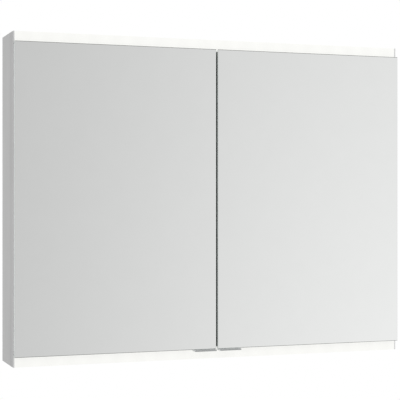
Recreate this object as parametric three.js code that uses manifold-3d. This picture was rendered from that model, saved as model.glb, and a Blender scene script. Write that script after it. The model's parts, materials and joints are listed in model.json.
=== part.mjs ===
// Wall-hung mirror cabinet with two doors and a light band above and below them.
// Millimetres, +Z up, +X to the right as the user faces it. The wall is the plane y = 0 and the
// front faces -Y. The origin is the centre of the wall rail's rear face.
import * as THREE from "three";
import { mergeVertices } from "three/addons/utils/BufferGeometryUtils.js";
import Module from "manifold-3d";

const wasm = await Module();
wasm.setup();

// ---- Driving dimensions ----
const width = 900; // over both side panels
const height = 700; // side panels, top to bottom
const bodyDepth = 114; // wall to the front edges of the side panels
const fit = 0.3; // clearance between pieces that touch

const sheet = 3; // side panels, top plate and bottom plate
const bandHeight = 21.8; // light band that shows above and below the doors
const bandOverlap = 3; // light profile that lies behind the doors
const profileDepth = 28; // light profile, front to back
const profileWall = 1.5;
const diffuserWall = 2;
const diffuserLeg = 6; // snap legs that reach into the light profile
const diffuserLegWall = 1.2;
const coverSheet = 2; // ceiling and floor panels under and over the wiring ducts
const backGap = 12; // wall to the back panel
const backSheet = 2;
const partitionSheet = 12;
const partitionSetback = 1; // body front to the partition's front edge
const bandLine = 33; // body front to the groove in the side panel
const grooveWidth = 0.8;
const grooveDepth = 0.4;

const mirrorGlass = 3;
const doorThickness = 11;
const doorStandoff = 1.2; // body front to the back of the doors
const doorInset = 1.1; // side panel's outer face to the door's outer edge
const doorGap = 3.6; // between the doors
const stileWidth = 24;
const railHeight = 22;
const mirrorOverhang = 5.5; // front mirror past the door frame, top and bottom

const pivotInset = 3.5; // door's outer edge to the hinge axis
const pivotSetback = 3.5; // back of the front mirror to the hinge axis
const pinRadius = 1.5;
const pinPlay = 0.35; // radial play of the pin in the stile and in the bracket
const pinReach = 11; // pin in the stile
const stileNose = 2; // rounding of the stile's rear outer corner, which swings past the body
const bracketSheet = 1.6;
const bracketPlay = 0.6; // frame end to the hinge bracket
const bracketNose = 3; // radius of the bracket round the pin
const bracketWidth = 20;
const bracketLength = 50; // hinge axis to the rear end of the bracket

const gripLength = 50;
const gripDrop = 3.8; // grip below the mirror's lower edge
const gripReach = 8.5; // grip in front of the mirror
const gripInset = 2.3; // door's inner edge to the grip
const gripGroove = 3.2; // half the width of the finger groove
const gripGrooveRise = 1.4;

const shelfLevels = [-108, 108]; // middle of each glass shelf, from the middle of the cabinet
const shelfGlass = 6;
const shelfDepth = 84;
const shelfSetback = 8; // partition's front edge to the shelf's front edge
const shelfCorner = 6;
const shelfPlay = 0.8; // shelf end to the track
const trackSheet = 2;
const trackWidth = 24;
const ledgeReach = 6;
const ledgeSheet = 2.5;
const slotPitch = 32;
const slotHeight = 10;
const slotWidth = 4;

const ledBoardHeight = 10;
const ledBoardSheet = 1.2;
const ledPitch = 50;
const ledChip = 3.5;
const driverSize = [160, 32, 16];
const leadRadius = 2;
const leadHole = 5; // radius of the holes that the leads pass through

const railDrop = 60; // top of the cabinet to the middle of the wall rail
const wallRailHeight = 30;
const railInset = 70; // cabinet's outer face to the end of the wall rail
const wallRailSheet = 2;
const wallRailHole = 3; // radius of the screw holes
const hookLip = 8; // upturned lip of the wall rail
const hookReach = 8; // wall to the front of the lip
const hangerWidth = 60;
const hangerInset = 90; // cabinet's outer face to the middle of a hanging bracket
const hangerHeight = 45;

const socketWidth = 72;
const socketHeight = 100;
const socketDepth = 38;
const socketWall = 2;
const facePlate = 3;
const facePlateRim = 1; // face plate past the housing on each side
const unitRise = 4; // floor panel to the socket unit
const socketBore = 18.5; // radius of the plug recess
const socketBoreDepth = 13;
const rockerLength = 31;
const rockerHeight = 18;
const rockerTilt = 4; // degrees each way from the middle
const windowPlay = 1; // round the rocker in its window
const catchWidth = 36;
const catchDepth = 18;
const catchHeight = 16;
const glandBore = 3.5; // radius, for the mains cable

// ---- Sizes worked out from them ----
const inner = width / 2 - sheet; // middle to a side panel's inner face
const half = height / 2;
const front = -bodyDepth;
const profileHeight = bandHeight + bandOverlap;
const ceiling = half - profileHeight; // underside of the light profile and the ceiling panel
const profileBack = front + profileDepth;
const ductTop = half - sheet;
const ductMiddle = (ceiling + coverSheet + ductTop) / 2;
const backFront = -backGap - backSheet; // front face of the back panel
const clearWidth = 2 * (inner - fit);
const doorBack = front - doorStandoff;
const doorFront = doorBack - doorThickness;
const doorWidth = (width - 2 * doorInset - doorGap) / 2;
const doorHalf = half - bandHeight;
const frameHalf = doorHalf - mirrorOverhang;
const frameFront = doorFront + mirrorGlass + fit;
const pivotX = width / 2 - doorInset - pivotInset;
const pivotY = doorFront + mirrorGlass + pivotSetback;
const partitionFront = front + partitionSetback;
const railMiddle = half - railDrop;
const wallRailLength = width - 2 * railInset;

// ---- Materials ----
const finish = (color, roughness, metalness = 0) =>
  new THREE.MeshStandardMaterial({ color, roughness, metalness });
const finishes = {
  anodised: () => finish(0xb9babb, 0.42, 1),
  panel: () => finish(0xc6c7c8, 0.5, 1),
  mirror: () => finish(0xdfe2e2, 0.04, 1),
  opal: () => finish(0xfbfbf8, 0.35),
  glass: () => finish(0xcfe3dc, 0.05),
  steel: () => finish(0x9a9c9e, 0.35, 1),
  plastic: () => finish(0xeeeeec, 0.4),
  board: () => finish(0xf4f4ef, 0.6),
  dark: () => finish(0x3a3b3d, 0.5),
};

// ---- Helpers ----
const X = new THREE.Vector3(1, 0, 0);
const Y = new THREE.Vector3(0, 1, 0);
const Z = new THREE.Vector3(0, 0, 1);

const cabinet = new THREE.Group();
cabinet.position.z = -railMiddle;

// Adds one named mesh to a group.
function piece(name, geometry, material, place = [0, 0, 0], parent = cabinet) {
  const mesh = new THREE.Mesh(geometry, finishes[material]());
  mesh.name = name;
  mesh.position.set(...place);
  parent.add(mesh);
  return mesh;
}

// A box between two values on each axis, given in either order.
function block([x0, x1], [y0, y1], [z0, z1]) {
  const made = new THREE.BoxGeometry(Math.abs(x1 - x0), Math.abs(y1 - y0), Math.abs(z1 - z0));
  return made.translate((x0 + x1) / 2, (y0 + y1) / 2, (z0 + z1) / 2);
}

// An outline carried along an axis, centred on 0: (u, v) are (y, z) along x, (x, z) along y, (x, y) along z.
function prism(outline, length, axis) {
  const points = outline.map(([u, v]) => new THREE.Vector2(u, v));
  const made = new THREE.ExtrudeGeometry(new THREE.Shape(points), { depth: length, bevelEnabled: false });
  made.translate(0, 0, -length / 2);
  if (axis === "x") made.applyMatrix4(new THREE.Matrix4().makeBasis(Y, Z, X));
  if (axis === "y") made.applyMatrix4(new THREE.Matrix4().makeBasis(X, Z, Y.clone().negate()));
  return made;
}

// Points of an arc round (u, v), from one angle to another in degrees.
function arc(u, v, radius, from, to, steps = 8) {
  return Array.from({ length: steps + 1 }, (_, i) => {
    const angle = ((from + ((to - from) * i) / steps) * Math.PI) / 180;
    return [u + radius * Math.cos(angle), v + radius * Math.sin(angle)];
  });
}

// A round bar between two values of the axis that it runs along, through the given place across it.
function bar(axis, radius, from, to, place = [0, 0], sides = 20) {
  const made = new THREE.CylinderGeometry(radius, radius, Math.abs(to - from), sides);
  const middle = (from + to) / 2;
  const [a, b] = place;
  if (axis === "x") return made.rotateZ(Math.PI / 2).translate(middle, a, b);
  if (axis === "y") return made.translate(a, middle, b);
  return made.rotateX(Math.PI / 2).translate(a, b, middle);
}

// A closed geometry as a solid that can be joined and cut.
function solid(geometry) {
  const bare = geometry.clone();
  bare.deleteAttribute("normal");
  bare.deleteAttribute("uv");
  const merged = mergeVertices(bare, 1e-4);
  const vertProperties = merged.attributes.position.array;
  return new wasm.Manifold(
    new wasm.Mesh({ numProp: 3, vertProperties, triVerts: new Uint32Array(merged.index.array) }),
  );
}

// A solid as a geometry again.
function meshed(made) {
  const mesh = made.getMesh();
  const geometry = new THREE.BufferGeometry();
  geometry.setAttribute("position", new THREE.BufferAttribute(mesh.vertProperties, 3));
  geometry.setIndex(new THREE.BufferAttribute(mesh.triVerts, 1));
  geometry.computeVertexNormals();
  return geometry;
}

const cut = (base, ...tools) =>
  meshed(tools.reduce((rest, tool) => rest.subtract(solid(tool)), solid(base)));
const join = (base, ...others) =>
  meshed(others.reduce((all, other) => all.add(solid(other)), solid(base)));

const sides = { left: -1, right: 1 };
const ends = { top: 1, bottom: -1 };

// ---- Body ----
// Side panel: a sheet with a fine groove down its outer face, which sets off the front band.
function sidePanel(side, s) {
  const outer = (s * width) / 2;
  const groove = front + bandLine;
  const outline = [
    [outer - s * sheet, front],
    [outer, front],
    [outer, groove - grooveWidth / 2],
    [outer - s * grooveDepth, groove],
    [outer, groove + grooveWidth / 2],
    [outer, 0],
    [outer - s * sheet, 0],
  ];
  piece(`side_panel_${side}`, prism(outline, height, "z"), "anodised");
}

// Light profile: a channel that opens to the front, with a hole in its web for the lead.
function lightProfile(end, t, leadX) {
  const mouth = front + diffuserWall + fit;
  const [low, high] = [ceiling, half].map((z) => t * z);
  const channel = [
    [mouth, low],
    [profileBack, low],
    [profileBack, high],
    [mouth, high],
    [mouth, high - t * profileWall],
    [profileBack - profileWall, high - t * profileWall],
    [profileBack - profileWall, low + t * profileWall],
    [mouth, low + t * profileWall],
  ];
  const hole = bar("y", leadHole, profileBack - 2 * profileWall, profileBack + profileWall, [
    leadX,
    (low + high) / 2,
  ]);
  piece(`${end}_light_profile`, cut(prism(channel, clearWidth, "x"), hole), "anodised");
}

// Diffuser: an opal face over the whole channel with two snap legs inside it.
function diffuser(end, t) {
  const legEnd = front + diffuserWall + diffuserLeg;
  const back = front + diffuserWall;
  const lower = ceiling + profileWall + fit;
  const upper = half - profileWall - fit;
  const outline = [
    [front, ceiling],
    [back, ceiling],
    [back, lower],
    [legEnd, lower],
    [legEnd, lower + diffuserLegWall],
    [back, lower + diffuserLegWall],
    [back, upper - diffuserLegWall],
    [legEnd, upper - diffuserLegWall],
    [legEnd, upper],
    [back, upper],
    [back, half],
    [front, half],
  ];
  const turned = outline.map(([y, z]) => [y, t * z]);
  piece(`${end}_diffuser`, prism(turned, clearWidth, "x"), "opal");
}

// LED board: a strip on the channel's web with a row of chips on its face.
function ledStrip(end, t) {
  const middle = (t * (ceiling + half)) / 2;
  const back = profileBack - profileWall - fit;
  const face = back - ledBoardSheet;
  const reach = inner - 4;
  const heights = [middle - ledBoardHeight / 2, middle + ledBoardHeight / 2];
  const board = block([-reach, reach], [face, back], heights);
  const count = Math.floor((2 * reach) / ledPitch);
  const chips = Array.from({ length: count }, (_, i) => {
    const x = (i - (count - 1) / 2) * ledPitch;
    const across = [x - ledChip / 2, x + ledChip / 2];
    return block(across, [face - 1, face + 0.2], [middle - ledChip / 2, middle + ledChip / 2]);
  });
  piece(`${end}_led_strip`, join(board, ...chips), "board");
}

// Top or bottom plate behind the light profile, and the panel that closes its wiring duct.
function plates(end, t) {
  const across = [-clearWidth / 2, clearWidth / 2];
  const behind = profileBack + fit;
  piece(`${end}_plate`, block(across, [behind, 0], [t * (half - sheet), t * half]), "panel");
  const name = t > 0 ? "ceiling_panel" : "floor_panel";
  const level = [t * ceiling, t * (ceiling + coverSheet)];
  piece(name, block(across, [behind, backFront - fit], level), "panel");
}

const topLeadX = 130;
const bottomLeadX = -(inner - 57);
const sideRunX = -(inner - 22); // where the bottom lead runs down behind the back panel
const glandX = 200;
for (const [side, s] of Object.entries(sides)) sidePanel(side, s);
for (const [end, t] of Object.entries(ends)) {
  lightProfile(end, t, t > 0 ? topLeadX : bottomLeadX);
  diffuser(end, t);
  ledStrip(end, t);
  plates(end, t);
}

// Back panel, with holes for the bottom lead and the mains gland.
const glandNeck = 5.7;
const backHeight = 2 * (ductTop - fit);
const leadLevel = ductMiddle - 2; // height at which the bottom lead passes the back panel
const backHole = (x, z, radius) => bar("y", radius, backFront - 1, -backGap + 1, [x, z]);
piece(
  "back_panel",
  cut(
    block([-clearWidth / 2, clearWidth / 2], [backFront, -backGap], [-backHeight / 2, backHeight / 2]),
    backHole(sideRunX, leadLevel, leadHole),
    backHole(sideRunX, -leadLevel, leadHole),
    backHole(glandX, ductMiddle, glandNeck + fit),
  ),
  "panel",
);

// Partition, with a corner cut out at the top for the door catch.
const partitionTop = ceiling - fit;
const partitionBack = backFront - fit;
const catchTop = ceiling - fit;
piece(
  "centre_partition",
  prism(
    [
      [partitionFront, -partitionTop],
      [partitionBack, -partitionTop],
      [partitionBack, partitionTop],
      [partitionFront + catchDepth + fit, partitionTop],
      [partitionFront + catchDepth + fit, catchTop - catchHeight - fit],
      [partitionFront, catchTop - catchHeight - fit],
    ],
    partitionSheet,
    "x",
  ),
  "panel",
);
piece(
  "magnet_catch",
  block(
    [-catchWidth / 2, catchWidth / 2],
    [partitionFront, partitionFront + catchDepth],
    [catchTop - catchHeight, catchTop],
  ),
  "plastic",
);

// ---- Inside of each bay ----
// Shelf track: a slotted strip with a pressed-out ledge under each shelf. `wall` is the face that it
// lies on and `away` the direction from there into the bay.
const trackBack = partitionFront + shelfSetback + shelfDepth / 2 + trackWidth / 2;
const trackReach = partitionTop - 6;
function shelfTrack(name, wall, away, foot = -trackReach) {
  const face = wall + away * (fit + trackSheet);
  const depth = [trackBack - trackWidth, trackBack];
  const strip = block([wall + away * fit, face], depth, [foot, trackReach]);
  const ledges = shelfLevels.map((level) => {
    const top = level - shelfGlass / 2 - fit;
    return block([face - away, face + away * ledgeReach], depth, [top - ledgeSheet, top]);
  });
  const clear = slotHeight / 2 + ledgeSheet;
  const count = Math.floor((trackReach - slotHeight) / slotPitch);
  const slots = Array.from({ length: 2 * count + 1 }, (_, i) => (i - count) * slotPitch)
    .filter((z) => z - slotHeight > foot)
    .filter((z) => shelfLevels.every((level) => Math.abs(level - shelfGlass / 2 - z) > clear))
    .map((z) => {
      const middle = trackBack - trackWidth / 2;
      const across = [middle - slotWidth / 2, middle + slotWidth / 2];
      return block([wall - away, face + away], across, [z - slotHeight / 2, z + slotHeight / 2]);
    });
  piece(name, cut(join(strip, ...ledges), ...slots), "anodised");
}

// Glass shelf with rounded front corners, between two tracks.
function glassShelf(name, s, level) {
  const near = partitionSheet / 2 + fit + trackSheet + shelfPlay;
  const far = inner - fit - trackSheet - shelfPlay;
  const shelfFront = partitionFront + shelfSetback;
  const back = shelfFront + shelfDepth;
  const outline = [
    [near, back],
    ...arc(near + shelfCorner, shelfFront + shelfCorner, shelfCorner, 180, 270),
    ...arc(far - shelfCorner, shelfFront + shelfCorner, shelfCorner, 270, 360),
    [far, back],
  ].map(([x, y]) => [s * x, y]);
  piece(name, prism(outline, shelfGlass, "z"), "glass", [0, 0, level]);
}

for (const [side, s] of Object.entries(sides)) {
  const across = [s * (partitionSheet / 2 + fit), s * (inner - fit)];
  const depth = [backFront - fit - mirrorGlass, backFront - fit];
  // The partition reaches the back panel, so each bay has a mirror of its own.
  const rise = [-partitionTop, partitionTop];
  piece(`back_mirror_${side}`, block(across, depth, rise), "mirror");
  // The right bay's outer track ends above the socket unit.
  const foot = s > 0 ? -ceiling + unitRise + socketHeight + 2 * facePlateRim : -trackReach;
  shelfTrack(`shelf_track_${side}_outer`, s * inner, -s, foot);
  shelfTrack(`shelf_track_${side}_inner`, (s * partitionSheet) / 2, s);
  shelfLevels.forEach((level, i) => {
    glassShelf(`glass_shelf_${side}_${["lower", "upper"][i]}`, s, level);
  });
}

// ---- Electrical pieces ----
const [driverLength, driverDepth, driverHeight] = driverSize;
const driverY = -50;
const driverFoot = ceiling + coverSheet + fit;
piece(
  "led_driver",
  new THREE.BoxGeometry(driverLength, driverDepth, driverHeight),
  "plastic",
  [0, driverY, driverFoot + driverHeight / 2],
);

// A route whose steps are even between its points, so that bends with many points are fine.
class LeadRoute extends THREE.CatmullRomCurve3 {
  getPointAt(u, target) {
    return this.getPoint(u, target);
  }
  getTangentAt(u, target) {
    return this.getTangent(u, target);
  }
}

// Round lead through the given points.
function lead(name, points) {
  const extrudePath = new LeadRoute(points.map((point) => new THREE.Vector3(...point)));
  const section = new THREE.Shape().absarc(0, 0, leadRadius, 0, 2 * Math.PI);
  const steps = 4 * (points.length - 1);
  piece(name, new THREE.ExtrudeGeometry(section, { steps, curveSegments: 4, extrudePath }), "dark");
}

const driverExit = driverLength / 2 + fit;
const leadEnd = profileBack - profileWall;
const runY = -backGap / 2;
const stripLevel = (ceiling + half) / 2;
lead("top_led_lead", [
  [driverExit, driverY, ductMiddle],
  [driverExit + 12, driverY, ductMiddle],
  [topLeadX - 14, driverY - 8, ductMiddle],
  [topLeadX - 2, driverY - 22, stripLevel],
  [topLeadX, profileBack + 8, stripLevel],
  [topLeadX, leadEnd, stripLevel],
]);
// From the driver along the duct, through the back panel, down behind it and forward again.
lead("bottom_led_lead", [
  [-driverExit, driverY, ductMiddle],
  [-driverExit - 12, driverY, ductMiddle],
  [-driverExit - 60, driverY + 3, ductMiddle],
  [sideRunX + 80, driverY + 8, ductMiddle],
  [sideRunX + 12, driverY + 14, ductMiddle],
  [sideRunX, backFront - 12, ductMiddle],
  [sideRunX, backFront - 3, ductMiddle - 1],
  [sideRunX, runY - 4, leadLevel - 4],
  [sideRunX, runY, leadLevel - 14],
  [sideRunX, runY, leadLevel - 40],
  [sideRunX, runY, 40 - leadLevel],
  [sideRunX, runY, 14 - leadLevel],
  [sideRunX, runY - 4, 4 - leadLevel],
  [sideRunX, backFront - 3, 1 - ductMiddle],
  [sideRunX, backFront - 12, -ductMiddle],
  [sideRunX + 6, driverY + 4, -ductMiddle],
  [bottomLeadX - 12, profileBack + 24, -stripLevel],
  [bottomLeadX, profileBack + 10, -stripLevel],
  [bottomLeadX, leadEnd, -stripLevel],
]);

// Mains gland: a flange in the duct, a neck through the back panel and a nut behind it.
const glandFlange = 8.5;
const glandNut = 8;
const nutStart = mirrorGlass + backSheet + 2 * fit;
const nutEnd = nutStart + 5.4;
const glandOutline = [
  [glandBore, 0],
  [glandFlange, 0],
  [glandFlange, mirrorGlass],
  [glandNeck, mirrorGlass],
  [glandNeck, nutStart],
  [glandNut, nutStart],
  [glandNut, nutEnd],
  [glandBore, nutEnd],
  [glandBore, 0],
].map(([radius, along]) => new THREE.Vector2(radius, along));
piece("cable_gland", new THREE.LatheGeometry(glandOutline, 24), "dark", [
  glandX,
  backFront - fit - mirrorGlass,
  ductMiddle,
]);

// Socket and switch unit on the right side panel, at the bottom of the bay. Local x runs from the
// side panel (0) into the bay (negative).
const unit = new THREE.Group();
unit.position.set(
  inner - fit,
  backFront - mirrorGlass - 10 - socketWidth / 2,
  -ceiling + unitRise + socketHeight / 2,
);
cabinet.add(unit);
const halfWidth = socketWidth / 2;
const halfHeight = socketHeight / 2;
piece(
  "socket_housing",
  cut(
    block([-socketDepth, 0], [-halfWidth, halfWidth], [-halfHeight, halfHeight]),
    block(
      [-socketDepth - 1, -socketWall],
      [socketWall - halfWidth, halfWidth - socketWall],
      [socketWall - halfHeight, halfHeight - socketWall],
    ),
  ),
  "plastic",
  [0, 0, 0],
  unit,
);

// Plug recess: a cup with a rim on the face plate and two pin holes.
const cupWall = 1.7;
const cupRim = 4;
const rimSheet = 1.3;
const cupFloor = 3;
const cupDepth = socketBoreDepth + cupFloor;
const pinHole = 2.5; // radius
const pinSpacing = 19;
const socketLevel = -18;
const cupRadius = socketBore + cupWall;
const plateBack = -socketDepth - fit;
const plateFront = plateBack - facePlate;
const cupOutline = [
  [0, 0],
  [cupRadius, 0],
  [cupRadius, cupDepth - rimSheet],
  [socketBore + cupRim, cupDepth - rimSheet],
  [socketBore + cupRim, cupDepth],
  [socketBore, cupDepth],
  [socketBore, cupFloor],
  [0, cupFloor],
].map(([radius, along]) => new THREE.Vector2(radius, along));
const pins = [-1, 1].map((k) => bar("y", pinHole, -1, cupFloor + 1, [0, (k * pinSpacing) / 2], 12));
const cup = cut(new THREE.LatheGeometry(cupOutline, 32), ...pins);
cup.rotateZ(Math.PI / 2).rotateX(Math.PI / 2);
const cupFoot = plateFront - fit + cupDepth - rimSheet;
piece("socket_insert", cup, "plastic", [cupFoot, 0, socketLevel], unit);

// Face plate with the round opening, the rocker's window and two ears for the rocker's axle.
const rockerLevel = 32;
const axleRadius = 1.2;
const earSheet = 2;
const earHalf = 3;
const axleX = plateBack + 2.2;
const windowHalfLength = rockerLength / 2 + windowPlay / 2;
const windowHalfHeight = rockerHeight / 2 + windowPlay;
const earNear = windowHalfLength + fit;
const ears = [-1, 1].map((k) =>
  block(
    [plateBack - 1, axleX + earHalf],
    [k * earNear, k * (earNear + earSheet)],
    [rockerLevel - earHalf, rockerLevel + earHalf],
  ),
);
const plateHalfWidth = halfWidth + facePlateRim;
const plateHalfHeight = halfHeight + facePlateRim;
const axleHole = bar("x", axleRadius + fit, -plateHalfWidth, plateHalfWidth, [0, 0], 16)
  .rotateZ(Math.PI / 2)
  .translate(axleX, 0, rockerLevel);
piece(
  "socket_face_plate",
  cut(
    join(
      block([plateFront, plateBack], [-plateHalfWidth, plateHalfWidth], [-plateHalfHeight, plateHalfHeight]),
      ...ears,
    ),
    bar("x", cupRadius + fit, plateFront - 1, plateBack + 1, [0, socketLevel], 32),
    block(
      [plateFront - 1, plateBack + 1],
      [-windowHalfLength, windowHalfLength],
      [rockerLevel - windowHalfHeight, rockerLevel + windowHalfHeight],
    ),
    axleHole,
  ),
  "plastic",
  [0, 0, 0],
  unit,
);

// Rocker: a shallow V across its face, and an axle stub at each end.
const rockerProud = 1.4; // rocker's face past the face plate
const rockerFace = plateFront - rockerProud - axleX;
const rockerHalf = rockerHeight / 2;
const rockerBody = prism(
  [
    [rockerFace, rockerHalf],
    [rockerFace + 0.8, 0],
    [rockerFace, -rockerHalf],
    [-1.5, -rockerHalf],
    [2, -4],
    [2, 4],
    [-1.5, rockerHalf],
  ],
  rockerLength,
  "y",
);
const stub = bar("y", axleRadius, -(earNear + earSheet), earNear + earSheet, [0, 0], 16);
const rocker = piece("rocker_switch", join(rockerBody, stub), "plastic", [axleX, 0, rockerLevel], unit);
rocker.rotation.y = THREE.MathUtils.degToRad(-rockerTilt);

// ---- Wall rail and hanging brackets ----
const railTop = railMiddle + wallRailHeight / 2;
const railBottom = railMiddle - wallRailHeight / 2;
const lipTop = railTop + hookLip;
const screwHoles = [-1, -1 / 3, 1 / 3, 1].map((k) =>
  bar("y", wallRailHole, -wallRailSheet - 1, 1, [k * (wallRailLength / 2 - 25), railMiddle]),
);
piece(
  "wall_rail",
  cut(
    prism(
      [
        [0, railBottom],
        [0, railTop],
        [wallRailSheet - hookReach, railTop],
        [wallRailSheet - hookReach, lipTop],
        [-hookReach, lipTop],
        [-hookReach, railTop - wallRailSheet],
        [-wallRailSheet, railTop - wallRailSheet],
        [-wallRailSheet, railBottom],
      ],
      wallRailLength,
      "x",
    ),
    ...screwHoles,
  ),
  "steel",
);

const hangerFront = -backGap + fit;
const hangerSheet = 2;
const hangerTop = lipTop + fit + hangerSheet;
const tongueFront = wallRailSheet - hookReach + fit; // face of the tongue behind the lip
const hangerOutline = [
  [hangerFront, hangerTop - hangerHeight],
  [hangerFront, hangerTop],
  [tongueFront + hangerSheet, hangerTop],
  [tongueFront + hangerSheet, railTop + 1],
  [tongueFront, railTop + 1],
  [tongueFront, hangerTop - hangerSheet],
  [hangerFront + hangerSheet, hangerTop - hangerSheet],
  [hangerFront + hangerSheet, hangerTop - hangerHeight],
];
for (const [side, s] of Object.entries(sides)) {
  const place = [s * (width / 2 - hangerInset), 0, 0];
  piece(`hanging_bracket_${side}`, prism(hangerOutline, hangerWidth, "x"), "steel", place);
}

// ---- Hinges ----
// Pivot bracket: a flat arm that reaches out over the end of the door frame, and a pin through it.
// Its outline is drawn round the hinge axis, with u towards the middle and v towards the wall.
const wallSide = inner - fit - pivotX; // hinge axis to the side panel's inner face
const bodyEdge = front - pivotY; // hinge axis to the front of the body
const heel = 1.2; // half width of the arm on its outer side, where the open door's edge comes
const armOutline = [
  [-wallSide, bodyEdge - fit],
  [-heel, bodyEdge - fit - 1],
  ...arc(0, 0, bracketNose, 180 - THREE.MathUtils.radToDeg(Math.acos(heel / bracketNose)), 360, 16),
  [bracketNose, bodyEdge],
  [bracketWidth - wallSide, bodyEdge + bracketWidth - bracketNose],
  [bracketWidth - wallSide, bracketLength],
  [-wallSide, bracketLength],
];
const bracketLow = frameHalf + bracketPlay;
const armOf = (s) => prism(armOutline.map(([u, v]) => [-s * u, v]), bracketSheet, "z");
for (const [side, s] of Object.entries(sides)) {
  for (const [end, t] of Object.entries(ends)) {
    const hole = bar("z", pinRadius + pinPlay, -bracketSheet, bracketSheet);
    const middle = t * (bracketLow + bracketSheet / 2);
    const place = [s * pivotX, pivotY, middle];
    piece(`hinge_bracket_${side}_${end}`, cut(armOf(s), hole), "steel", place);
    const pin = bar("z", pinRadius, t * (frameHalf - pinReach), t * (bracketLow + bracketSheet));
    piece(`hinge_pin_${side}_${end}`, pin, "steel", [s * pivotX, pivotY, 0]);
  }
}

// ---- Doors ----
// Grip: a flat tab under the mirror that stands out in front of it, with a finger groove underneath and a
// foot behind that reaches up to the bottom rail.
// Its outline is (y, z) measured from the front of the door and the lower edge of the mirror.
function gripOutline() {
  const top = -fit;
  const foot = mirrorOverhang - fit;
  const behind = mirrorGlass + fit;
  const back = doorThickness - fit;
  const squash = gripGrooveRise / gripGroove;
  const rise = arc(0, 0, gripGroove, 0, 180).map(([y, z]) => [y, z * squash - gripDrop]);
  return [
    [-gripReach, top],
    [behind, top],
    [behind, foot],
    [back, foot],
    [back, -gripDrop],
    ...rise,
    [-gripReach, -gripDrop],
  ];
}

// One door, in a group on its hinge axis. `at` turns a distance from the door's outer edge into x.
function door(side, s) {
  const hung = new THREE.Group();
  hung.position.set(s * pivotX, 0, 0);
  cabinet.add(hung);
  const at = (u) => s * (pivotInset - u);
  const put = (name, geometry, material) => piece(`${name}_${side}`, geometry, material, [0, 0, 0], hung);
  const whole = [at(0), at(doorWidth)];
  put("front_mirror", block(whole, [doorFront, doorFront + mirrorGlass], [-doorHalf, doorHalf]), "mirror");

  const depth = [frameFront, doorBack];
  const bores = [1, -1].map((t) => {
    const span = [t * (frameHalf - pinReach - 1), t * (frameHalf + 1)];
    return bar("z", pinRadius + pinPlay, ...span, [at(pivotInset), pivotY]);
  });
  const stile = [
    [0, frameFront],
    ...arc(stileNose, doorBack - stileNose, stileNose, 180, 90, 6),
    [stileWidth, doorBack],
    [stileWidth, frameFront],
  ].map(([u, y]) => [at(u), y]);
  put("hinge_stile", cut(prism(stile, 2 * frameHalf, "z"), ...bores), "anodised");
  const closing = [at(doorWidth - stileWidth), at(doorWidth)];
  put("closing_stile", block(closing, depth, [-frameHalf, frameHalf]), "anodised");
  const between = [at(stileWidth + fit), at(doorWidth - stileWidth - fit)];
  for (const [end, t] of Object.entries(ends)) {
    const rise = [t * (frameHalf - railHeight), t * frameHalf];
    put(`door_rail_${end}`, block(between, depth, rise), "anodised");
  }

  const mirrorRise = frameHalf - railHeight - fit;
  const rear = [doorBack - mirrorGlass, doorBack];
  put("inner_mirror", block(between, rear, [-mirrorRise, mirrorRise]), "mirror");
  const grip = prism(gripOutline(), gripLength, "x");
  const gripMiddle = at(doorWidth - gripInset - gripLength / 2);
  put("finger_grip", grip.translate(gripMiddle, doorFront, -doorHalf), "anodised");
}
for (const [side, s] of Object.entries(sides)) door(side, s);

export default cabinet;
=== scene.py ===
"""Mirror cabinet with light bands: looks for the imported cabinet, in metres, in the cabinet's own frame.

The wall is the plane y = 0, the front faces -Y and +Z is up. Shapes are worked out in millimetres from the
boxes of the cabinet's own nodes and turned into metres when they become meshes.
"""
import json
import math

import bmesh
import bpy
import numpy as np
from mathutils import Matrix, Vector


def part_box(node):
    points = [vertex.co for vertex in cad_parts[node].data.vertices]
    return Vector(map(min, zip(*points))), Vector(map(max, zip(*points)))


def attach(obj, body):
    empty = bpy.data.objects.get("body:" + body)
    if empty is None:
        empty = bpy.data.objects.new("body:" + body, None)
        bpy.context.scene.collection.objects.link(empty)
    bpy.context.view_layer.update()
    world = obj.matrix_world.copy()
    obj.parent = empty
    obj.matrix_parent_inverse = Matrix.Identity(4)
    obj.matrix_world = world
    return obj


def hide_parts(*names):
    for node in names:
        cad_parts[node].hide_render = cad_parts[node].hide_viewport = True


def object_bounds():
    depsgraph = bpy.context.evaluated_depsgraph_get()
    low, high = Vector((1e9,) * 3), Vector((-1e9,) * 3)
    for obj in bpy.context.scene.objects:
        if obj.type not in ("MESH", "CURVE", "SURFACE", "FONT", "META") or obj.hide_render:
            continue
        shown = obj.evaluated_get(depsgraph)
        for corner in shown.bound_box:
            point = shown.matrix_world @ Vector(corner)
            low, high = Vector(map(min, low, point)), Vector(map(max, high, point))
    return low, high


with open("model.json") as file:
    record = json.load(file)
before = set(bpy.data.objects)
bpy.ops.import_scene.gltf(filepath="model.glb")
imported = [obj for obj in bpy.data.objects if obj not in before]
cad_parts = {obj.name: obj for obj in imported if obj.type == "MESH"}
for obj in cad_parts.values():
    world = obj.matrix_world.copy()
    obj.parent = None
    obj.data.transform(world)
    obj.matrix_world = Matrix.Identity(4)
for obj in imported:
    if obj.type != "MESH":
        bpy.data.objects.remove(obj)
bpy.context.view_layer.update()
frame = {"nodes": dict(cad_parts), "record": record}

SIDES = {"left": -1, "right": 1}
ENDS = {"top": 1, "bottom": -1}
FIT = 0.3  # clearance between pieces that touch, mm

# ---------------- camera and stage
LENS = 105.77
CAMERA_PLACE = (-0.9397, -2.5271, -0.2839)
CAMERA_YAW = 19.19  # degrees from +Y towards +X
CAMERA_SHIFT = (0.0693, -0.0093)

eye = bpy.data.cameras.new("eye")
eye.lens = LENS
eye.sensor_width = 36
eye.shift_x, eye.shift_y = CAMERA_SHIFT
eye.clip_end = 100
camera = bpy.data.objects.new("camera", eye)
camera.location = CAMERA_PLACE
camera.rotation_euler = (math.radians(90), 0, math.radians(-CAMERA_YAW))
bpy.context.scene.collection.objects.link(camera)
bpy.context.scene.camera = camera
bpy.context.scene.view_settings.view_transform = "Standard"


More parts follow.
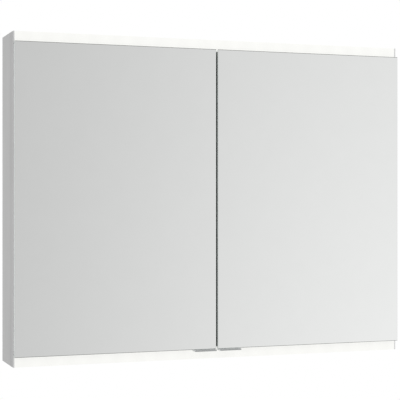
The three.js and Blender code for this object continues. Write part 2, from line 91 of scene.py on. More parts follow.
# ---------------- small tools
def linear(code):
    """sRGB hex colour as linear RGBA: each channel undoes the sRGB curve."""
    c = np.array([int(code[i : i + 2], 16) for i in (0, 2, 4)]) / 255
    c = np.where(c <= 0.04045, c / 12.92, ((c + 0.055) / 1.055) ** 2.4)
    return (*c.tolist(), 1.0)


def per(mm):
    """Texture scale whose features are this many millimetres across: 1000 / mm."""
    return 1000.0 / mm


def add(tree, kind, inputs=None, **settings):
    """Adds a node, sets its properties, and sets or links its inputs by name or number."""
    made = tree.nodes.new(kind)
    for name, value in settings.items():
        setattr(made, name, value)
    for name, value in (inputs or {}).items():
        if isinstance(value, bpy.types.NodeSocket):
            tree.links.new(value, made.inputs[name])
        else:
            made.inputs[name].default_value = value
    return made


def finish(name, **constants):
    """A new material: its tree, its Principled shader with the given constants, and object coordinates."""
    material = bpy.data.materials.new(name)
    material.use_nodes = True
    tree = material.node_tree
    shader = tree.nodes["Principled BSDF"]
    for socket, value in constants.items():
        shader.inputs[socket.replace("_", " ")].default_value = value
    place = add(tree, "ShaderNodeTexCoord").outputs["Object"]
    return material, tree, shader, place


def feed(tree, shader, **sources):
    """Links textures to a shader's inputs."""
    for socket, source in sources.items():
        tree.links.new(source, shader.inputs[socket.replace("_", " ")])


def stretched(tree, place, scale):
    """Object coordinates with a scale of their own on each axis."""
    return add(tree, "ShaderNodeMapping", {"Vector": place, "Scale": scale}).outputs["Vector"]


def coordinate(tree, place, axis):
    """One coordinate of a place."""
    return add(tree, "ShaderNodeSeparateXYZ", {"Vector": place}).outputs[axis]


def calculate(tree, operation, *values):
    """One step of arithmetic on values of a texture."""
    return add(tree, "ShaderNodeMath", dict(enumerate(values)), operation=operation).outputs[0]


def noise(tree, place, scale, detail=2.0):
    """The value of a fractal noise texture, a half on average. Three scales stretch it along the axes."""
    if isinstance(scale, tuple):
        place, scale = stretched(tree, place, scale), 1.0
    inputs = {"Vector": place, "Scale": scale, "Detail": detail, "Roughness": 0.5}
    return add(tree, "ShaderNodeTexNoise", inputs).outputs["Fac"]


def between(tree, value, low, high, source=(0.3, 0.7)):
    """Maps a texture value onto a range of its own."""
    limits = {"From Min": source[0], "From Max": source[1], "To Min": low, "To Max": high}
    return add(tree, "ShaderNodeMapRange", {"Value": value, **limits}).outputs["Result"]


def mixed(tree, factor, first, second):
    """Mixes two values: first * (1 - factor) + second * factor."""
    return add(tree, "ShaderNodeMix", {0: factor, 2: first, 3: second}, data_type="FLOAT").outputs[0]


def tint(tree, factor, first, second):
    """Mixes two colours: first * (1 - factor) + second * factor."""
    return add(tree, "ShaderNodeMix", {0: factor, 6: first, 7: second}, data_type="RGBA").outputs[2]


def shade(tree, texture, dark, light, source=(0.3, 0.7)):
    """A colour that runs from dark to light as the texture's value crosses the source range."""
    return tint(tree, between(tree, texture, 0, 1, source), linear(dark), linear(light))


def relief(tree, shader, height, strength, depth_mm):
    """Bump on a shader from a texture value that stands for this depth."""
    inputs = {"Height": height, "Strength": strength, "Distance": depth_mm / 1000}
    bump = add(tree, "ShaderNodeBump", inputs)
    tree.links.new(bump.outputs["Normal"], shader.inputs["Normal"])


# ---------------- materials
def brushed_metal(name, dark, light, rough, grain, metallic=1.0):
    """Aluminium sheet or extrusion, drawn one way and anodised: long soft streaks and an even sheen."""
    material, tree, shader, place = finish(name, Metallic=metallic)
    streaks = noise(tree, place, grain, detail=3)
    clouds = noise(tree, place, per(90), detail=1)
    roughness = between(tree, clouds, rough - 0.03, rough + 0.03)
    feed(tree, shader, Base_Color=shade(tree, streaks, dark, light), Roughness=roughness)
    relief(tree, shader, streaks, 0.12, FINISH_DEPTH)
    return material


# Streaks across the grain are about 0.7 mm, which is coarser than real brushing so that it shows.
ALONG_Z = (per(0.7), per(0.7), per(60))
ALONG_X = (per(60), per(0.7), per(0.7))
FINISH_DEPTH = 0.02  # depth of marks left by drawing, grinding or plating, mm


def side_sheet():
    """Satin anodised side sheet: the band in front of the groove reads a little darker, and the front edge is
    painted near white as a painted highlight."""
    material, tree, shader, place = finish("satin anodised side sheet", Metallic=1.0)
    streaks = noise(tree, place, ALONG_Z, detail=3)
    clouds = noise(tree, stretched(tree, place, (1, 1, 0.4)), per(70), detail=1)
    depth = coordinate(tree, place, "Y")
    behind = between(tree, depth, 0, 1, (GROOVE_Y - 0.0004, GROOVE_Y + 0.0004))
    # Painted highlight: the front edge face is coloured near white so that it reads bright beside the door.
    painted_edge_highlight = between(tree, depth, 1, 0, ((FRONT + 0.4) / 1000, (FRONT + 0.7) / 1000))
    fore, rear = shade(tree, streaks, "BDBDBD", "C5C5C5"), shade(tree, streaks, "C4C4C4", "CCCCCC")
    colour = tint(tree, painted_edge_highlight, tint(tree, behind, fore, rear), linear("EDEDED"))
    feed(tree, shader, Base_Color=colour, Roughness=between(tree, clouds, 0.36, 0.42))
    relief(tree, shader, streaks, 0.1, FINISH_DEPTH)
    return material


def silvered_glass():
    """Silvered float glass: a clean, very slightly cool mirror with a breath of wiping film on it."""
    material, tree, shader, place = finish("silvered float glass", Metallic=1.0)
    film = noise(tree, place, per(45), detail=4)
    colour = shade(tree, film, "F1F2F1", "F2F3F2")
    feed(tree, shader, Base_Color=colour, Roughness=between(tree, film, 0.012, 0.022))
    return material


def glass_edge(name, dark, light, rough, **constants):
    """Edge of float glass, with fine grinding marks round it: iron in the glass gives a green-grey cast."""
    material, tree, shader, place = finish(name, **constants)
    grind = noise(tree, place, (per(3), per(0.4), per(3)))
    roughness = between(tree, grind, rough, rough + 0.1)
    feed(tree, shader, Base_Color=shade(tree, grind, dark, light), Roughness=roughness)
    return material


def closing_bar_metal():
    """Bright anodised frame bar; a dark grey band on its closing side is painted shade for the door gap."""
    material, tree, shader, place = finish("drawn closing bar")
    streaks = noise(tree, place, ALONG_Z, detail=3)
    away = calculate(tree, "ABSOLUTE", coordinate(tree, place, "X"))
    metal = between(tree, away, 0, 1, (GAP_SHADE_X - 0.00005, GAP_SHADE_X + 0.00005))
    # Painted shade: the dark grey, matt and not metallic, stands in for the shade in the gap between the
    # doors.
    soft, bright = shade(tree, streaks, "1E1F20", "262728"), shade(tree, streaks, "F0F1F1", "F6F6F6")
    roughness = between(tree, metal, 0.7, 0.34, (0, 1))
    feed(tree, shader, Base_Color=tint(tree, metal, soft, bright), Metallic=metal, Roughness=roughness)
    relief(tree, shader, streaks, 0.1, FINISH_DEPTH)
    return material


def opal_acrylic():
    """Extruded opal acrylic, lit from behind: an even white glow with a soft trace of each chip behind it.

    The glow follows the cosine of 2 pi x / the chips' pitch, with a fine mottle added to it.
    """
    material, tree, shader, place = finish(
        "lit opal acrylic", Base_Color=linear("6A6A68"), Roughness=0.38, Emission_Color=linear("FEFEFB")
    )
    turns = calculate(tree, "MULTIPLY", coordinate(tree, place, "X"), 2 * math.pi * per(LED_PITCH))
    chips = calculate(tree, "COSINE", turns)
    glow = between(tree, chips, GLOW - 0.008, GLOW + 0.008, (-1, 1))
    mottle = noise(tree, place, per(14))
    total = calculate(tree, "ADD", glow, between(tree, mottle, -0.006, 0.006))
    feed(tree, shader, Emission_Strength=total)
    relief(tree, shader, mottle, 0.04, 0.03)
    return material


def shelf_glass():
    """Toughened clear float: see-through with a faint green cast."""
    constants = {"Transmission_Weight": 1.0, "IOR": 1.52, "Roughness": 0.0}
    material, tree, shader, place = finish("clear toughened glass", **constants)
    wave = noise(tree, place, per(120), detail=1)
    feed(tree, shader, Base_Color=shade(tree, wave, "EEF7F3", "F4FAF7"))
    relief(tree, shader, wave, 0.02, 0.05)
    return material


def zinc_plate():
    """Zinc-plated pressed steel: faint crystal flakes a few millimetres across and a dull shine."""
    material, tree, shader, place = finish("zinc-plated steel", Metallic=1.0)
    flakes = add(tree, "ShaderNodeTexVoronoi", {"Vector": place, "Scale": per(4)})
    grey = add(tree, "ShaderNodeSeparateColor", {"Color": flakes.outputs["Color"]}).outputs[0]
    colour = tint(tree, grey, linear("A9ACAF"), linear("C0C3C6"))
    feed(tree, shader, Base_Color=colour, Roughness=between(tree, grey, 0.28, 0.42, (0, 1)))
    relief(tree, shader, noise(tree, place, per(1.2)), 0.1, FINISH_DEPTH)
    return material


def bright_steel():
    """Turned and ground stainless steel: fine rings across the axis and a bright shine."""
    material, tree, shader, place = finish("ground stainless steel", Metallic=1.0)
    rings = noise(tree, place, (per(4), per(4), per(0.5)))
    colour = shade(tree, rings, "B4B5B6", "CCCDCE")
    feed(tree, shader, Base_Color=colour, Roughness=between(tree, rings, 0.2, 0.3))
    relief(tree, shader, rings, 0.08, FINISH_DEPTH)
    return material


def moulded(name, dark, light, rough, grain_mm, strength, **constants):
    """Injection moulded plastic: a spark-eroded texture of the given grain and a slight drift in colour."""
    material, tree, shader, place = finish(name, **constants)
    drift = noise(tree, place, per(35), detail=1)
    grain = noise(tree, place, per(grain_mm))
    roughness = between(tree, grain, rough - 0.05, rough + 0.05)
    feed(tree, shader, Base_Color=shade(tree, drift, dark, light), Roughness=roughness)
    relief(tree, shader, grain, strength, 0.04)
    return material


def led_board():
    """White solder mask with yellow phosphor chips, which stand out from the face of the board."""
    material, tree, shader, place = finish("white solder mask", Roughness=0.5)
    chip = between(tree, coordinate(tree, place, "Y"), 1, 0, (LED_FACE - 0.0004, LED_FACE - 0.0002))
    tracks = noise(tree, place, (per(25), 1, per(1.5)), detail=0)
    mask = shade(tree, tracks, "F1F1EC", "E2E3DB", (0.45, 0.55))
    feed(tree, shader, Base_Color=tint(tree, chip, mask, linear("E9C24A")))
    return material


# ---------------- boxes of the cabinet's nodes, in mm
def box(name):
    """The two corners of a node's box, in mm."""
    low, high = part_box(name)
    return np.array(low) * 1000, np.array(high) * 1000


SHEET_LOW, SHEET_HIGH = box("side_panel_left")
FRONT = SHEET_LOW[1]
MIDDLE_Z = (SHEET_LOW[2] + SHEET_HIGH[2]) / 2
BAND_LINE = 33.0  # front of the body to the groove in the side sheets
GROOVE_Y = (FRONT + BAND_LINE) / 1000
LED_PITCH = 50.0
LED_FACE = (box("top_led_strip")[0][1] + 1.0) / 1000
GLOW = 0.80  # how brightly the opal bands shine
GAP_SHADE_X = (min(abs(v[0]) for v in box("closing_stile_right")) + 0.9) / 1000  # edge of the painted gap shade on the closing bars

MATERIALS = {
    "side_sheet": side_sheet(),
    "profile": brushed_metal("drawn aluminium profile", "BDBEBF", "CDCECF", 0.38, ALONG_X),
    "panel": brushed_metal("satin anodised panel", "C6C7C8", "D4D5D6", 0.42, ALONG_X),
    # Painted light and shade: one drawn frame aluminium in two tones, the upright bars painted lighter and
    # the level bars darker.
    "frame_upright_painted_lit": brushed_metal("drawn frame aluminium, upright", "F0F1F1", "F8F8F8", 0.34, ALONG_Z),
    "frame_level_painted_shade": brushed_metal("drawn frame aluminium, level", "E2E3E3", "ECEDED", 0.34, ALONG_X),
    "closing": closing_bar_metal(),
    # Painted shade: the grip's forward-looking faces take a darker copy of its colour, and the top takes the
    # lighter one.
    "grip": brushed_metal("blasted and anodised grip", "DADCDC", "E6E8E8", 0.5, ALONG_X, metallic=0.3),
    "grip_front_painted_shade": brushed_metal(
        "grip front, painted shade", "9C9E9E", "A8AAAA", 0.5, ALONG_X, metallic=0.3
    ),
    "track": brushed_metal("slotted aluminium track", "B7B8B9", "C7C8C9", 0.36, ALONG_Z),
    "mirror": silvered_glass(),
    "edge": glass_edge("ground glass edge", "E3EEE9", "EFF6F2", 0.3),
    "bevel": glass_edge("polished mirror bevel", "DDE3E0", "E9EDEB", 0.04, Metallic=1.0),
    "shelf_edge": glass_edge("polished shelf edge", "8FB8A8", "A9CDBF", 0.06, Transmission_Weight=0.35),
    "opal": opal_acrylic(),
    "glass": shelf_glass(),
    "zinc": zinc_plate(),
    "steel": bright_steel(),
    "board": led_board(),
    "white": moulded("white moulded ABS", "E9E9E6", "F1F1EF", 0.32, 0.8, 0.15),
    "rocker": moulded("glossy white ABS", "EEEEEC", "F5F5F3", 0.16, 1.2, 0.05, Coat_Weight=0.3),
    "black": moulded("black glass-filled nylon", "1F2022", "2A2B2D", 0.5, 0.6, 0.3),
    "sheath": moulded("soft black PVC", "1A1A1C", "252527", 0.55, 1.0, 0.1),
    "clear_clip": moulded(
        "frosted clear polycarbonate", "DDE2E2", "E8ECEC", 0.3, 0.8, 0.1, Transmission_Weight=0.6
    ),
    "buffer": moulded("clear soft PU", "D5DADA", "E2E6E6", 0.25, 0.5, 0.05, Transmission_Weight=0.7),
}


# ---------------- shapes as arrays
def rounded(points, radius, steps=4):
    """Closed outline with every corner turned into an arc.

    On each corner the arc starts and ends a tangent length r / tan(half the corner's angle) from it, round a
    centre that lies r / sin(half the angle) in along the bisector.
    """
    p = np.asarray(points, float)
    r = np.broadcast_to(np.asarray(radius, float), len(p))
    back, on = np.roll(p, 1, 0) - p, np.roll(p, -1, 0) - p
    back_length, on_length = np.linalg.norm(back, axis=1), np.linalg.norm(on, axis=1)
    back, on = back / back_length[:, None], on / on_length[:, None]
    half = np.arccos(np.clip((back * on).sum(1), -1, 1)) / 2
    reach = np.minimum(r / np.tan(half), 0.49 * np.minimum(back_length, on_length))
    r = reach * np.tan(half)
    bisector = back + on
    bisector /= np.linalg.norm(bisector, axis=1)[:, None]
    centre = p + bisector * (r / np.sin(half))[:, None]
    first = p + back * reach[:, None] - centre
    last = p + on * reach[:, None] - centre
    start = np.arctan2(first[:, 1], first[:, 0])
    turn = np.arctan2(last[:, 1], last[:, 0]) - start
    turn = (turn + np.pi) % (2 * np.pi) - np.pi
    angle = start[:, None] + turn[:, None] * np.linspace(0, 1, steps + 1)
    ring = centre[:, None] + r[:, None, None] * np.stack([np.cos(angle), np.sin(angle)], -1)
    ring = ring.reshape(-1, 2)
    far = np.linalg.norm(ring - np.roll(ring, 1, 0), axis=1) > 1e-5
    return ring[far]


def inset(outline, distance):
    """The outline moved inwards: each point goes along its mitre, 1 / cos(half the turn) times the distance.

    The distance stays under the radius of every outward corner, so that no arc turns inside out.
    """
    p = outline
    edge = np.roll(p, -1, 0) - p
    edge /= np.linalg.norm(edge, axis=1)[:, None]
    normal = np.stack([-edge[:, 1], edge[:, 0]], -1)
    before = np.roll(normal, 1, 0)
    mitre = (normal + before) / (1 + (normal * before).sum(1))[:, None]
    area = np.sum(p[:, 0] * np.roll(p[:, 1], -1) - p[:, 1] * np.roll(p[:, 0], -1))
    return p + np.sign(area) * mitre * distance


def rectangle(low, high):
    """The four corners of a rectangle, anticlockwise from the lower left one."""
    return [(low[0], low[1]), (high[0], low[1]), (high[0], high[1]), (low[0], high[1])]


ORDER = {"x": (2, 0, 1), "y": (0, 2, 1), "z": (0, 1, 2)}  # where (u, v, along) go as x, y, z
FLAT_CORNERS = 12  # faces with at least this many corners are caps
SHARP = math.radians(40)  # edges of a node that turn further than this are rounded
ARRIS = 0.3  # ground off the hidden edge of a mirror, mm
SCREW_SIDES = 16
CROSS_DEPTH, CROSS_REACH, CROSS_ARM = 0.8, 0.62, 0.15  # mm, and shares of a screw head's radius


def circle(count):
    """The cosines and sines of the angles 2 pi j / count."""
    angle = 2 * np.pi * np.arange(count) / count
    return np.cos(angle), np.sin(angle)


def bands(rows):
    """Quads from each row of point numbers to the next, or triangles where a row is all one point."""
    faces = []
    for a, b in zip(rows[:-1], rows[1:]):
        quads = np.stack([a, np.roll(a, -1), np.roll(b, -1), b], -1)
        faces += [[v for k, v in enumerate(quad) if v != quad[k - 1]] for quad in quads.tolist()]
    return [face for face in faces if len(face) > 2]


def joined(rings, closed=False):
    """Rings of points as one shape, with a band from each to the next. A ring of one point is a pole."""
    count = max(len(ring) for ring in rings)
    rows, start = [], 0
    for ring in rings:
        rows.append(start + (np.arange(count) if len(ring) > 1 else np.zeros(count, int)))
        start += len(ring)
    return np.vstack(rings), bands(rows + rows[:1] if closed else rows)


def capped(rings):
    """Rings of points as one shape, with a flat face over the first ring and over the last."""
    points, faces = joined(rings)
    j = np.arange(len(rings[0]))
    return points, faces + [j[::-1].tolist(), (j + len(points) - len(j)).tolist()]


def stacked(outline, levels, axis):
    """Rings of one outline carried along an axis, each inset and placed as `levels` says, and capped.

    Point (i, j) is outline point j moved inwards by inset i, at distance i along the axis.
    """
    rings = [np.column_stack([inset(outline, d), np.full(len(outline), a)]) for d, a in levels]
    points, faces = capped(rings)
    return points[:, ORDER[axis]], faces


def round_levels(start, end, radius, steps=3):
    """Levels for a bar whose two ends are rounded: a quarter circle in inset and distance at each end."""
    angle = np.linspace(0, np.pi / 2, steps + 1)
    inward, along = radius * (1 - np.sin(angle)), radius * (1 - np.cos(angle))
    first = list(zip(inward, start + along))
    last = list(zip(inward[::-1], end - along[::-1]))
    return first + last


def carried(outline, axis, start, end, edge=0.4, steps=3):
    """A profile carried along an axis from start to end, with its end edges rounded."""
    return stacked(np.asarray(outline, float), round_levels(start, end, edge, steps), axis)


def turned(profile, axis, centre, count=32, lobes=None):
    """A profile of (radius, distance) turned about an axis through `centre`.

    Point (i, j) is radius i times the angle factor of j, at angle 2 pi j / count; `lobes` gives that factor,
    such as a hexagon's. A profile point on the axis is one pole. A profile without a pole closes on itself.
    """
    cos, sin = circle(count)
    factor = 1.0 if lobes is None else lobes(2 * np.pi * np.arange(count) / count)
    rings = []
    for radius, along in profile:
        reach = radius * factor
        ring = np.column_stack([reach * cos, reach * sin, np.full(count, along)])
        rings.append(ring if radius > 1e-9 else np.array([[0, 0, along]]))
    points, faces = joined(rings, closed=min(len(ring) for ring in rings) > 1)
    return points[:, ORDER[axis]] + np.asarray(centre, float), faces


def slide(t, start, end, first, last):
    """The point between two points that t is at between start and end."""
    return (end - t) / (end - start) * first + (t - start) / (end - start) * last


def tube(route, radius, sides=16, per_span=10):
    """A round section carried along a smooth curve through the route's points.

    The curve is a Catmull-Rom spline whose knots are spaced by the square root of the chord. Each ring is
    square to the curve, and its directions go on from ring to ring by projecting out the new tangent.
    """
    p = np.asarray(route, float)
    p = np.vstack([2 * p[0] - p[1], p, 2 * p[-1] - p[-2]])
    knots = np.concatenate([[0], np.cumsum(np.sqrt(np.linalg.norm(np.diff(p, axis=0), axis=1)))])
    path = []
    for i in range(1, len(p) - 2):
        t = np.linspace(knots[i], knots[i + 1], per_span, endpoint=i == len(p) - 3)[:, None]
        k = knots[i - 1 : i + 3]
        a = [slide(t, k[n], k[n + 1], p[i - 1 + n], p[i + n]) for n in range(3)]
        b = [slide(t, k[n], k[n + 2], a[n], a[n + 1]) for n in range(2)]
        path.append(slide(t, k[1], k[2], *b))
    path = np.vstack(path)
    tangent = np.gradient(path, axis=0)
    tangent /= np.linalg.norm(tangent, axis=1)[:, None]
    side = np.cross(tangent[0], [0, 0, 1.0])
    cos, sin = circle(sides)
    rings = []
    for place, along in zip(path, tangent):
        side = side - along * (side @ along)
        side /= np.linalg.norm(side)
        up = np.cross(along, side)
        rings.append(place + radius * (cos[:, None] * side + sin[:, None] * up))
    return capped(rings)


def together(shapes):
    """Several shapes as one."""
    points, faces, start = [], [], 0
    for more, polygons in shapes:
        points.append(more)
        faces += [[v + start for v in face] for face in polygons]
        start += len(more)
    return np.vstack(points), faces


def outwards(points, faces):
    """The faces in the order that points them out: the signed volume of their fans tells."""
    volume = 0.0
    for face in faces:
        a = points[face[0]]
        fan = points[face[1:]] - a
        volume += float(np.einsum("ij,j->", np.cross(fan[:-1], fan[1:]), a))
    return faces if volume > 0 else [face[::-1] for face in faces]


def in_scene(name, data):
    """A new object, linked into the scene."""
    made = bpy.data.objects.new(name, data)
    bpy.context.scene.collection.objects.link(made)
    return made


def normals(mesh):
    """The normal of each face, one row each."""
    flat = np.zeros(3 * len(mesh.polygons))
    mesh.polygons.foreach_get("normal", flat)
    return flat.reshape(-1, 3)


def second_look(made, material, where):
    """Another material on the faces that `where` picks from their normals."""
    made.data.materials.append(MATERIALS[material])
    made.data.polygons.foreach_set("material_index", where(normals(made.data)).astype(int))


def make(name, shape, material, body="cabinet", stands_for=(), edge=None, smooth=35):
    """Turns a shape in mm into a piece in metres, with faces of FLAT_CORNERS corners or more shaded flat.

    With `edge`, faces that don't look along Y take that material, and the slanting ones the bevel's.
    """
    points, faces = shape
    faces = outwards(points, faces)
    mesh = bpy.data.meshes.new(name)
    mesh.from_pydata((points / 1000).tolist(), [], faces)
    mesh.materials.append(MATERIALS[material])
    if edge:
        mesh.materials.append(MATERIALS[edge])
        mesh.materials.append(MATERIALS["bevel"])
        facing = np.abs(normals(mesh)[:, 1])
        mesh.polygons.foreach_set("material_index", np.select([facing > 0.9, facing > 0.4], [0, 2], 1))
    mesh.polygons.foreach_set("use_smooth", [len(face) < FLAT_CORNERS for face in faces])
    mesh.set_sharp_from_angle(angle=math.radians(smooth))
    mesh.update()
    made = in_scene(name, mesh)
    even = made.modifiers.new("flat faces stay flat", "WEIGHTED_NORMAL")
    even.keep_sharp = True
    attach(made, body)
    if stands_for:
        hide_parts(*stands_for)
    return made


def sheet_between(low, high, axis, corner=0.8, edge=0.4, steps=4):
    """A flat sheet or block: a rectangle with rounded corners, carried through its thickness."""
    u, v, along = {"x": (1, 2, 0), "y": (0, 2, 1), "z": (0, 1, 2)}[axis]
    outline = rounded(rectangle((low[u], low[v]), (high[u], high[v])), corner, steps)
    return carried(outline, axis, low[along], high[along], edge)


def softened(node, material, width, body="cabinet", segments=2):
    """A copy of a node with its flat faces whole again and its edges rounded by this width in mm."""
    mesh = frame["nodes"][node].data.copy()
    mesh.materials.clear()
    mesh.materials.append(MATERIALS[material])
    for layer in list(mesh.uv_layers):
        mesh.uv_layers.remove(layer)
    made = in_scene(f"soft_{node}", mesh)
    whole = bmesh.new()
    whole.from_mesh(mesh)
    bmesh.ops.remove_doubles(whole, verts=whole.verts, dist=1e-5)
    bmesh.ops.dissolve_limit(whole, angle_limit=math.radians(1), verts=whole.verts, edges=whole.edges)
    whole.to_mesh(mesh)
    whole.free()
    bevel = made.modifiers.new("rounded edges", "BEVEL")
    bevel.width = width / 1000
    bevel.segments = segments
    bevel.limit_method = "ANGLE"
    bevel.angle_limit = SHARP
    bevel.harden_normals = True
    mesh.polygons.foreach_set("use_smooth", [True] * len(mesh.polygons))
    mesh.set_sharp_from_angle(angle=SHARP)
    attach(made, body)
    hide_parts(node)
    return made


def screw_head(centre, facing, radius, dome, sink=0.0):
    """A cross-recessed pan head on a face that looks along +/- one axis.

    At r, from 0 to 1 of the radius, its height over the face is dome * sqrt(1 - (0.96 r)^2), less `sink`. The
    cross is cut where r < CROSS_REACH and the nearer middle line is less than CROSS_ARM of the radius away.
    """
    sign = 1 if facing[0] == "+" else -1
    cos, sin = circle(SCREW_SIDES)
    r = np.array([[0.0, 0.16, 0.3, 0.45, 0.6, 0.8, 0.93, 1.0]]).T
    arms = np.minimum(np.abs(sin), np.abs(cos)) * r < CROSS_ARM
    height = dome * np.sqrt(np.clip(1 - (0.96 * r) ** 2, 0, 1))
    levels = height - CROSS_DEPTH * (arms & (r < CROSS_REACH)) - sink
    dish = np.stack([radius * r * cos, radius * r * sin, sign * levels], -1)
    base = np.column_stack([radius * cos, radius * sin, np.full(SCREW_SIDES, -sign * sink)])
    points, faces = joined([dish[0, :1], *dish[1:], base, [[0, 0, -sign * sink]]])
    points = points[:, ORDER[facing[1]]] + np.asarray(centre, float)
    return points, outwards(points, faces)


def rim(low, high, counts):
    """Points once round a rectangle, evenly spaced along each side, from its lower left corner."""
    corners = np.array(rectangle(low, high))
    sides = zip(corners, np.roll(corners, -1, 0), (*counts, *counts))
    return np.vstack([np.linspace(a, b, n, endpoint=False) for a, b, n in sides])


def pane(low, high, bevel, seen_from=-1, counts=(12, 18)):
    """A mirror pane with a polished bevel round its seen face.

    The seen face is an even grid of small flat cells at one y. Rings of the same count run from it down the
    bevel (as far in as it is deep), down the side and over a small arris to the hidden face.
    """
    face, hidden = (low[1], high[1]) if seen_from < 0 else (high[1], low[1])
    nx, nz = counts
    x = np.linspace(low[0] + bevel, high[0] - bevel, nx + 1)
    z = np.linspace(low[2] + bevel, high[2] - bevel, nz + 1)
    grid = np.stack(np.meshgrid(x, z, indexing="ij"), -1).reshape(-1, 2)
    index = np.arange(len(grid)).reshape(nx + 1, nz + 1)
    edge = np.concatenate([index[:-1, 0], index[-1, :-1], index[:0:-1, -1], index[0, :0:-1]])
    cells = np.stack([index[:-1, :-1], index[1:, :-1], index[1:, 1:], index[:-1, 1:]], -1).reshape(-1, 4)
    parts, rows = [np.column_stack([grid[:, 0], np.full(len(grid), face), grid[:, 1]])], [edge]
    steps = ((0.0, face - seen_from * bevel), (0.0, hidden + seen_from * ARRIS), (ARRIS, hidden))
    for inward, y in steps:
        ring = rim((low[0] + inward, low[2] + inward), (high[0] - inward, high[2] - inward), counts)
        rows.append(sum(len(part) for part in parts) + np.arange(len(ring)))
        parts.append(np.column_stack([ring[:, 0], np.full(len(ring), y), ring[:, 1]]))
    return np.vstack(parts), cells.tolist() + bands(rows[::-1]) + [rows[-1].tolist()]


# ---------------- body
def side_panels():
    """Side sheets: a strip with rounded edges and a V groove that sets off the front band."""
    line = FRONT + BAND_LINE
    for side, s in SIDES.items():
        low, high = box(f"side_panel_{side}")
        outer, inner = (low[0], high[0]) if s < 0 else (high[0], low[0])
        groove = [(outer, line - 0.5), (outer - s * 0.4, line), (outer, line + 0.5)]
        corners = [(inner, low[1]), (outer, low[1]), *groove, (outer, high[1]), (inner, high[1])]
        outline = rounded(corners, [0.3, 0.5, 0.12, 0.1, 0.12, 0.3, 0.3])
        shape = carried(outline, "z", low[2], high[2], 0.1)
        stand = [f"side_panel_{side}"]
        make(f"side_sheet_{side}", shape, "side_sheet", stands_for=stand)


def light_bands():
    """Opal covers: a flat lit face with softly rounded long edges and two snap legs behind it."""
    leg, gap = 1.2, 1.8
    for end in ENDS:
        low, high = box(f"{end}_diffuser")
        front, back, tip = low[1], low[1] + 2.0, high[1]
        z0, z1 = low[2], high[2]
        a, b, c, d = z0 + gap, z0 + gap + leg, z1 - gap - leg, z1 - gap
        lower = [(front, z0), (back, z0), (back, a), (tip, a), (tip, b), (back, b)]
        upper = [(back, c), (tip, c), (tip, d), (back, d), (back, z1), (front, z1)]
        radii = [0.9, 0.35, 0.2, 0.35, 0.35, 0.2]
        outline = rounded(lower + upper, radii + radii[::-1])
        shape = carried(outline, "x", low[0], high[0], 0.3)
        make(f"opal_cover_{end}", shape, "opal", stands_for=[f"{end}_diffuser"])
        softened(f"{end}_light_profile", "profile", 0.35)
        frame["nodes"][f"{end}_led_strip"].data.materials[0] = MATERIALS["board"]


def panels():
    """Flat sheets of the body, with broken edges."""
    for end in ENDS:
        low, high = box(f"{end}_plate")
        shape = sheet_between(low, high, "z", 1.0, 0.5)
        make(f"{end}_sheet", shape, "panel", stands_for=[f"{end}_plate"])
    for name in ("ceiling_panel", "floor_panel"):
        shape = sheet_between(*box(name), "z", 1.0, 0.4)
        make(f"{name}_sheet", shape, "panel", stands_for=[name])
    softened("back_panel", "panel", 0.3)
    softened("centre_partition", "panel", 1.2, segments=3)
    for side in SIDES:
        shape = pane(*box(f"back_mirror_{side}"), 0.5)
        stand = [f"back_mirror_{side}"]
        make(f"rear_mirror_{side}", shape, "mirror", stands_for=stand, edge="edge")


def back_screws():
    """Screws that hold the back panel, in a row down each side and along the top and bottom."""
    low, high = box("back_panel")
    places = [(x, z) for x in np.linspace(low[0] + 12, high[0] - 12, 7) for z in (low[2] + 10, high[2] - 10)]
    places += [(x, z) for x in (low[0] + 9, high[0] - 9) for z in np.linspace(low[2] + 60, high[2] - 60, 4)]
    heads = [screw_head((x, high[1], z), "+y", 3.0, 1.2) for x, z in places]
    make("back_panel_screws", together(heads), "zinc", smooth=50)


def shelves():
    """Glass shelves with rounded front corners and polished edges, and the clips that they rest on."""
    for side, s in SIDES.items():
        clips = []
        for level in ("lower", "upper"):
            node = f"glass_shelf_{side}_{level}"
            low, high = box(node)
            outline = rounded(rectangle(low[:2], high[:2]), [6.0, 6.0, 1.0, 1.0], 8)
            shape = carried(outline, "z", low[2], high[2], 0.7)
            made = make(f"shelf_{side}_{level}", shape, "glass", stands_for=[node])
            second_look(made, "shelf_edge", lambda n: np.abs(n[:, 2]) < 0.5)
            top = low[2] - 0.05
            for place, towards in (("inner", s), ("outer", -s)):
                t_low, t_high = box(f"shelf_track_{side}_{place}")
                wall = t_low[0] if towards > 0 else t_high[0]
                face = wall + towards * 2.0
                near, far = sorted((face - towards * 0.1, wall + towards * 8.6))
                block_low, block_high = (near, t_low[1] + 1.5, top - 3.6), (far, t_high[1] - 1.5, top)
                clips.append(sheet_between(block_low, block_high, "z", 1.6, 0.6))
        make(f"shelf_clips_{side}", together(clips), "clear_clip")
        for place in ("inner", "outer"):
            softened(f"shelf_track_{side}_{place}", "track", 0.25)


def catch():
    """Magnet catch: a rounded housing with a pair of steel-faced magnets in its front."""
    low, high = box("magnet_catch")
    middle = (low + high) / 2
    housing = sheet_between(low + [0, 0.8, 0], high, "y", 2.0, 0.8)
    make("catch_housing", housing, "white", stands_for=["magnet_catch"])
    faces = []
    for s in (-1, 1):
        x = middle[0] + s * (high[0] - middle[0] - 6.4)
        plate_low = (x - 4.2, low[1], middle[2] - 5.5)
        plate_high = (x + 4.2, low[1] + 3, middle[2] + 5.5)
        faces.append(sheet_between(plate_low, plate_high, "y", 0.8, 0.3))
    make("catch_magnets", together(faces), "steel")


